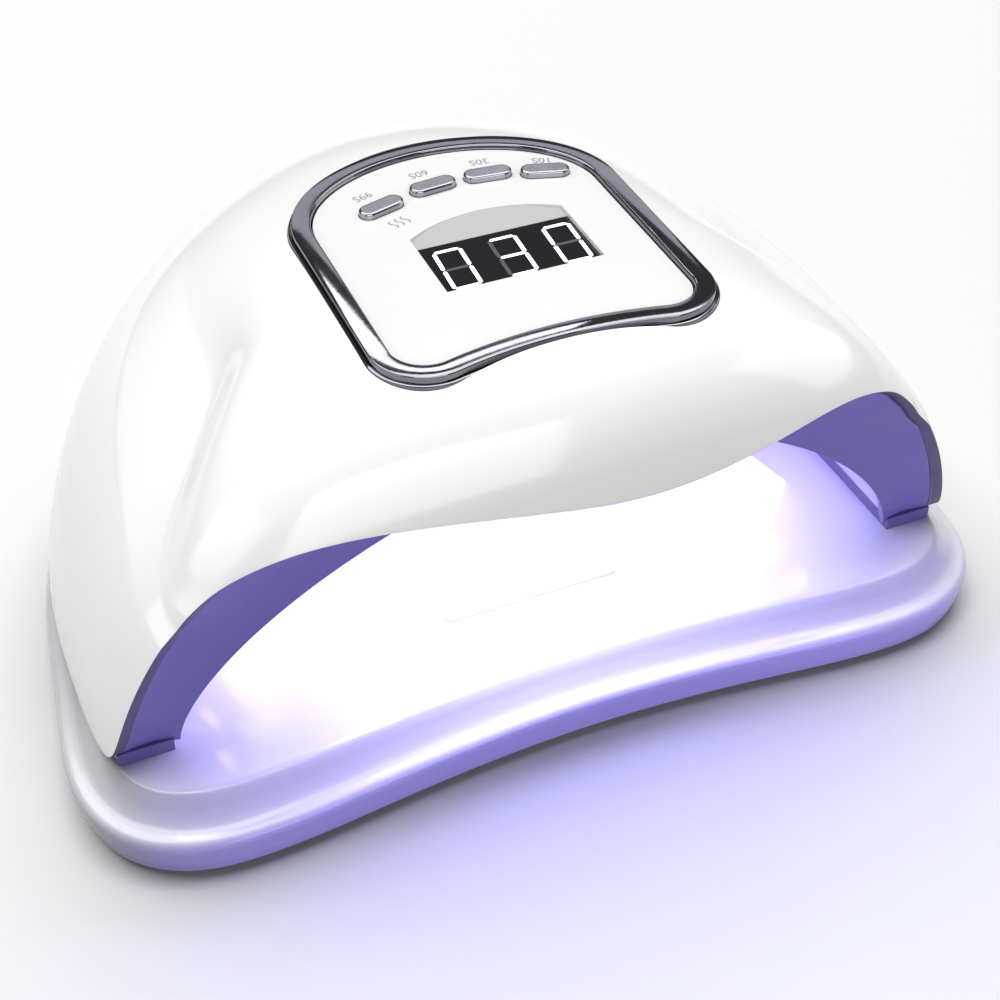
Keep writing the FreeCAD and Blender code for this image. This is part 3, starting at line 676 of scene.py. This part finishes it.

# ---- Scoop behind the window ----------------------------------------------
# The sunk half-moon behind the display, moulded in the panel and coloured a mid grey, darker
# than the plate.
window_low, window_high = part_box("display_window")
window_left, window_right = window_low.x / MM - 0.1, window_high.x / MM + 0.1
window_top, window_back = window_high.z / MM, window_high.y / MM + 0.1
SCOOP_BACK, SCOOP_ROUND = -14.4, 33.2
scoop_grey = moulded("scoop_grey", (0.37, 0.365, 0.37), (0.34, 0.335, 0.34), 0.3, 0.42, 0.02)
scoop_verts = []
scoop_middle = (window_left + window_right) / 2
for x in np.linspace(window_left, window_right, 61):
    far = SCOOP_BACK - SCOOP_ROUND + math.sqrt(SCOOP_ROUND**2 - (x - scoop_middle) ** 2)
    for t in np.linspace(0, 1, 9):
        y = window_back + (far - window_back) * t
        dip = (y - window_back) / (SCOOP_BACK - window_back)
        scoop_verts.append((x, y, window_top + 0.03 + (PLATE_TOP - window_top) * dip))
piece("window_scoop", scoop_verts, band_faces(61, 9, closed=False), "housing", scoop_grey)

# ---- Display figures ------------------------------------------------------
# Three seven-segment figures, laid just over the smoked window that they show through. Lit
# bars glow cool white, and the unlit ones show as dark grey.
lit = moulded("segment_lit", (0.9, 0.92, 1.0), (0.86, 0.88, 1.0), 0.3, 0.4, 0.0)
lit_shader = lit.node_tree.nodes["Principled BSDF"]
lit_shader.inputs["Emission Color"].default_value = (0.9, 0.93, 1.0, 1)
lit_shader.inputs["Emission Strength"].default_value = 1.2
unlit = moulded("segment_unlit", (0.05, 0.05, 0.055), (0.065, 0.065, 0.07), 0.3, 0.4, 0.0)
FIGURE_WIDE, FIGURE_HIGH, BAR, FIGURE_LEAN = 6.1, 14.6, 0.9, 0.05
# Each bar's place across and up the figure in half heights, and whether it stands upright.
SEGMENTS = {"a": (0.0, 1.0, 0), "b": (0.5, 0.5, 1), "c": (0.5, -0.5, 1), "d": (0.0, -1.0, 0),
            "e": (-0.5, -0.5, 1), "f": (-0.5, 0.5, 1), "g": (0.0, 0.0, 0)}
figure_middle = -33.0
for place, (centre_x, on) in enumerate(((-9.1, "abcdef"), (3.9, "abgcd"), (16.9, "abcdef"))):
    for key, (sx, sy, upright) in SEGMENTS.items():
        cx = centre_x + sx * FIGURE_WIDE
        cy = figure_middle + sy * FIGURE_HIGH / 2
        half = (FIGURE_HIGH / 4 if upright else FIGURE_WIDE / 2) - 0.15
        outline = [(-half, 0), (-half + BAR / 2, BAR / 2), (half - BAR / 2, BAR / 2), (half, 0),
                   (half - BAR / 2, -BAR / 2), (-half + BAR / 2, -BAR / 2)]
        if upright:
            outline = [(y, x) for x, y in outline]
        flat = [(cx + x + (cy + y - figure_middle) * FIGURE_LEAN, cy + y) for x, y in outline]
        verts = [(x, y, window_top + 0.01) for x, y in flat] + [(x, y, window_top + 0.05) for x, y in flat]
        faces = [tuple(range(6, 12))] + [(k, (k + 1) % 6, (k + 1) % 6 + 6, k + 6) for k in range(6)]
        piece(f"figure{place}_{key}", verts, faces, "housing", lit if key in on else unlit)

# ---- Buttons --------------------------------------------------------------
# Four plated caps that travel in the panel's holes onto tact switches under them.
# The plating's base colour is darker than real chrome: a painted dark reflection on the caps.
button_chrome = moulded("button_chrome", (0.34, 0.34, 0.37), (0.29, 0.29, 0.32), 0.08, 0.18,
                        metallic=1.0, cloud=150.0)
for node, _, _, _ in BUTTONS:
    dress(node, button_chrome)

# ---- Power inlet ----------------------------------------------------------
# Barrel socket in black nylon at the back, with a plated centre contact.
inlet_black = moulded("inlet_black", (0.025, 0.025, 0.027), (0.04, 0.04, 0.042), 0.4, 0.55, 0.1)
dress("power_inlet", inlet_black)
dress("power_inlet_contact", nickel)

# ---- Floor, light and camera ----------------------------------------------
# A plain pale floor, a broad soft light behind and above, flagged fill lights that reach only
# the outside of the hood, the lamp's own violet light, and a camera at the front left.
floor_mesh = bpy.data.meshes.new("floor")
bm = bmesh.new()
bmesh.ops.create_grid(bm, x_segments=8, y_segments=8, size=1.5)
bm.to_mesh(floor_mesh)
bm.free()
floor = bpy.data.objects.new("floor", floor_mesh)
bpy.context.collection.objects.link(floor)
floor.location.z = cad_low.z
floor_white = moulded("floor_white", (0.9, 0.9, 0.9), (0.89, 0.89, 0.89), 0.5, 0.6, 0.0, cloud=3.0)
floor_white.node_tree.nodes["Principled BSDF"].inputs["Specular IOR Level"].default_value = 0.1
floor.data.materials.append(floor_white)
floor.visible_diffuse = False

world = bpy.data.worlds.new("studio")
bpy.context.scene.world = world
world.use_nodes = True
sky = world.node_tree
backdrop = sky.nodes["Background"]
backdrop.inputs["Color"].default_value = (1, 1, 1, 1)
backdrop.inputs["Strength"].default_value = 0.1
# The backdrop lights the scene softly but is seen as plain white.
seen_white = sky.nodes.new("ShaderNodeBackground")
seen_white.inputs["Color"].default_value = (1, 1, 1, 1)
choose = sky.nodes.new("ShaderNodeMixShader")
which = sky.nodes.new("ShaderNodeLightPath")
sky.links.new(which.outputs["Is Camera Ray"], choose.inputs["Fac"])
sky.links.new(backdrop.outputs["Background"], choose.inputs[1])
sky.links.new(seen_white.outputs["Background"], choose.inputs[2])
sky.links.new(choose.outputs["Shader"], sky.nodes["World Output"].inputs["Surface"])


def soft_light(name, at, aim, size, power, colour, body=None, lit_only=None):
    """A rectangular area light, which may ride on a body and may reach one collection only."""
    data = bpy.data.lights.new(name, "AREA")
    data.shape = "RECTANGLE"
    data.size, data.size_y = size
    data.energy = power
    data.color = colour
    made = bpy.data.objects.new(name, data)
    bpy.context.collection.objects.link(made)
    made.location = Vector(at)
    made.rotation_euler = (Vector(aim) - Vector(at)).to_track_quat("-Z", "Y").to_euler()
    if body:
        made.parent = frame["bodies"][body]
    if lit_only:
        made.light_linking.receiver_collection = lit_only


def only(name, *members):
    """A collection of objects that some light reaches alone."""
    group = bpy.data.collections.new(name)
    for member in members:
        group.objects.link(member)
    return group


outer_names = ("hood_shell", "trim_ring", "window_scoop")
outer_pieces = [made for made in bpy.data.objects
                if made.name in outer_names or made.name.startswith("figure")]
buttons = [nodes[row[0]] for row in BUTTONS]
outside = only("outside_of_hood", *outer_pieces, *buttons, nodes["control_panel_plate"],
               nodes["display_window"])
soft_light("overhead", (0.0, 0.55, 1.7), (0, 0.05, 0), (2.6, 1.8), 47.0, (1, 1, 1))
soft_light("fill_front", (-0.3, -1.5, 1.0), (0, 0, 0.05), (1.8, 1.2), 19.5, (1, 1, 1), lit_only=outside)
soft_light("fill_left", (-1.6, 0.0, 0.7), (0, 0, 0.05), (1.6, 1.0), 9.0, (1, 1, 1), lit_only=outside)
soft_light("fill_right", (1.6, -0.2, 0.8), (0, 0, 0.05), (1.6, 1.0), 9.5, (1, 1, 1), lit_only=outside)
violet = (0.37, 0.36, 1.0)
soft_light("cavity_roof", (0, -0.045, 0.0735), (0, -0.055, 0), (0.085, 0.05), 0.06, violet, "housing")
soft_light("cavity_left", (-0.062, -0.03, 0.05), (0.02, -0.05, 0.018), (0.03, 0.07), 0.04, violet, "housing")
soft_light("cavity_right", (0.062, -0.03, 0.05), (-0.02, -0.05, 0.018), (0.03, 0.07), 0.04, violet, "housing")

# The pale floor throws the violet light back at the tray and the bezel, and the mouth of the
# lamp throws it onto the tray alone.
tray_skin, bezel_band = bpy.data.objects["tray_skin"], bpy.data.objects["bezel_band"]
facing_pool = only("facing_the_pool", tray_skin, bezel_band, nodes["reflector_liner"],
                   nodes["bottom_frame"])
soft_light("violet_pool", (0.05, -0.42, 0.03), (0, -0.07, 0.03), (0.34, 0.05), 0.85, (0.28, 0.22, 1.0),
           lit_only=facing_pool)
tray_only = only("tray_alone", tray_skin)
soft_light("mouth", (0, -0.066, 0.068), (0, -0.11, 0.0), (0.2, 0.02), 0.16, (0.8, 0.78, 1.0),
           "housing", tray_only)
plated = only("plated_trim", bpy.data.objects["trim_ring"], *buttons)


def card(name, turned, raised, size, power, colour):
    """A lit card two metres off, seen only in the plated pieces, at a bearing and a height angle."""
    a, e = math.radians(turned), math.radians(raised)
    spot = Vector((math.sin(a) * math.cos(e), math.cos(a) * math.cos(e), math.sin(e))) * 2.0
    foot = Vector((0, -0.03, 0.102))
    soft_light(name, foot + spot, foot, size, power, colour, lit_only=plated)


card("bright_card", 19.75, 36.5, (0.435, 0.14), 0.8, (1, 1, 1))
card("grey_card", 21.0, 29.5, (0.79, 0.175), 0.45, (0.95, 0.9, 1.0))
bpy.context.scene.view_settings.view_transform = "Standard"

camera_data = bpy.data.cameras.new("camera")
camera_data.lens = 60.96
camera_data.sensor_width = 36.0
camera = bpy.data.objects.new("camera", camera_data)
bpy.context.collection.objects.link(camera)
turn, rise = math.radians(-23.2), math.radians(41.0)
away = Vector((math.sin(turn) * math.cos(rise), -math.cos(turn) * math.cos(rise), math.sin(rise)))
camera.location = (-0.1217, -0.319, 0.3013)
camera.rotation_euler = (-away).to_track_quat("-Z", "Y").to_euler()
camera_data.clip_start = 0.01
bpy.context.scene.camera = camera
